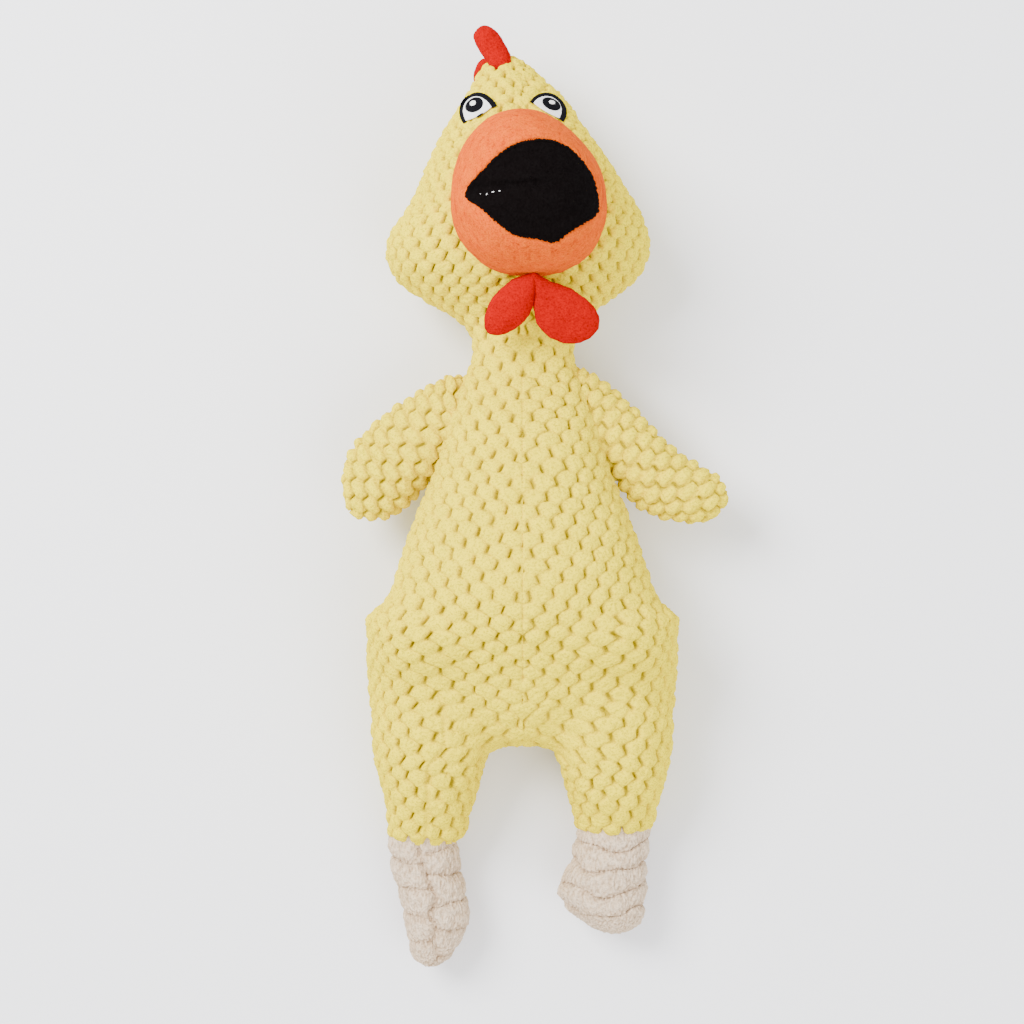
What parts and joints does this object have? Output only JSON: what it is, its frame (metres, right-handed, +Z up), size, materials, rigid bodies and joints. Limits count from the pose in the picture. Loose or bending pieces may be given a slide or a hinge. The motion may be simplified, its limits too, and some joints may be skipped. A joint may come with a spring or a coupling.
{
  "type": "plush chicken toy",
  "caption": "Stuffed plush chicken toy lying on its back, with a round beak, open black mouth, red comb and wattle, two wings and two floppy legs with gathered feet.",
  "frame": {"origin": "on the floor under the middle of the toy as it lies on its back", "axes": "+Z up, out of the belly; +Y towards the top of the head; +X towards the viewer's right when looking down with the head at the top"},
  "size_m": [0.1655, 0.4001, 0.1063],
  "materials": {
    "yellow_plush": "matte",
    "orange_plush": "matte",
    "black_plush": "matte",
    "red_plush": "matte",
    "beige_plush": "matte",
    "white_thread": "satin",
    "black_thread": "satin",
    "filling": "matte",
    "vinyl": "satin",
    "plastic": "matte"
  },
  "bodies": {
    "torso": {"torso_front_left_cover": "yellow_plush", "torso_front_right_cover": "yellow_plush", "torso_back_cover": "yellow_plush", "torso_stuffing_front": "filling", "torso_stuffing_back": "filling", "squeaker_bellows": "vinyl", "squeaker_stem": "plastic", "squeaker_reed": "plastic"},
    "neck": {"neck_front_cover": "yellow_plush", "neck_back_cover": "yellow_plush", "neck_stuffing": "filling"},
    "head": {"head_front_cover": "yellow_plush", "head_back_cover": "yellow_plush", "head_stuffing": "filling", "beak_upper_cover": "orange_plush", "beak_lower_cover": "orange_plush", "mouth_upper_lining": "black_plush", "mouth_lower_lining": "black_plush", "beak_stuffing": "filling", "eye_white_left": "white_thread", "eye_outline_left": "black_thread", "pupil_left": "black_thread", "eye_glint_left": "white_thread", "eye_white_right": "white_thread", "eye_outline_right": "black_thread", "pupil_right": "black_thread", "eye_glint_right": "white_thread"},
    "comb": {"comb_front_lobe": "red_plush", "comb_rear_lobe": "red_plush"},
    "wattle_left": {"wattle_left": "red_plush"},
    "wing_left": {"wing_left_front_cover": "yellow_plush", "wing_left_back_cover": "yellow_plush", "wing_left_stuffing": "filling"},
    "thigh_left": {"thigh_left_front_cover": "yellow_plush", "thigh_left_back_cover": "yellow_plush", "thigh_left_stuffing": "filling"},
    "shank_left": {"shank_left_cover": "beige_plush", "shank_left_stuffing": "filling"},
    "wattle_right": {"wattle_right": "red_plush"},
    "wing_right": {"wing_right_front_cover": "yellow_plush", "wing_right_back_cover": "yellow_plush", "wing_right_stuffing": "filling"},
    "thigh_right": {"thigh_right_front_cover": "yellow_plush", "thigh_right_back_cover": "yellow_plush", "thigh_right_stuffing": "filling"},
    "shank_right": {"shank_right_cover": "beige_plush", "shank_right_stuffing": "filling"}
  },
  "joints": [
    {"name": "neck_nod", "type": "hinge", "parent": "torso", "child": "neck", "pos_m": [-0.006, 0.072, 0.027], "axis": [1, 0, 0], "range_deg": [-30, 40], "stiffness_Nm_per_rad": 0.15},
    {"name": "head_turn", "type": "hinge", "parent": "neck", "child": "head", "pos_m": [-0.006, 0.0843, 0.03], "axis": [0, 1, 0], "range_deg": [-25, 25], "stiffness_Nm_per_rad": 0.15},
    {"name": "comb_flop", "type": "hinge", "parent": "head", "child": "comb", "pos_m": [-0.017, 0.1898, 0.034], "axis": [0, 0, 1], "range_deg": [-35, 35], "stiffness_Nm_per_rad": 0.01},
    {"name": "wattle_left_flap", "type": "hinge", "parent": "head", "child": "wattle_left", "pos_m": [-0.006, 0.092, 0.07235], "axis": [-1, 0, 0], "range_deg": [0, 90], "stiffness_Nm_per_rad": 0.004},
    {"name": "wattle_right_flap", "type": "hinge", "parent": "head", "child": "wattle_right", "pos_m": [-0.006, 0.092, 0.07235], "axis": [-1, 0, 0], "range_deg": [0, 90], "stiffness_Nm_per_rad": 0.004},
    {"name": "wing_left_flap", "type": "hinge", "parent": "torso", "child": "wing_left", "pos_m": [-0.0532, 0.026, 0.03], "axis": [0.3107, 0.9505, 0], "range_deg": [-15, 70], "stiffness_Nm_per_rad": 0.03},
    {"name": "wing_right_flap", "type": "hinge", "parent": "torso", "child": "wing_right", "pos_m": [0.0412, 0.026, 0.03], "axis": [0.3107, -0.9505, 0], "range_deg": [-15, 70], "stiffness_Nm_per_rad": 0.03},
    {"name": "thigh_left_swing", "type": "hinge", "parent": "torso", "child": "thigh_left", "pos_m": [-0.0455, -0.106, 0.027], "axis": [-1, 0, 0], "range_deg": [-20, 80], "stiffness_Nm_per_rad": 0.15},
    {"name": "shank_left_bend", "type": "hinge", "parent": "thigh_left", "child": "shank_left", "pos_m": [-0.0468, -0.1602, 0.018], "axis": [-1, 0, 0], "range_deg": [-45, 60], "stiffness_Nm_per_rad": 0.05},
    {"name": "thigh_right_swing", "type": "hinge", "parent": "torso", "child": "thigh_right", "pos_m": [0.0335, -0.106, 0.027], "axis": [-1, 0, 0], "range_deg": [-20, 80], "stiffness_Nm_per_rad": 0.15},
    {"name": "shank_right_bend", "type": "hinge", "parent": "thigh_right", "child": "shank_right", "pos_m": [0.0348, -0.1602, 0.018], "axis": [-1, 0, 0], "range_deg": [-45, 60], "stiffness_Nm_per_rad": 0.05}
  ]
}
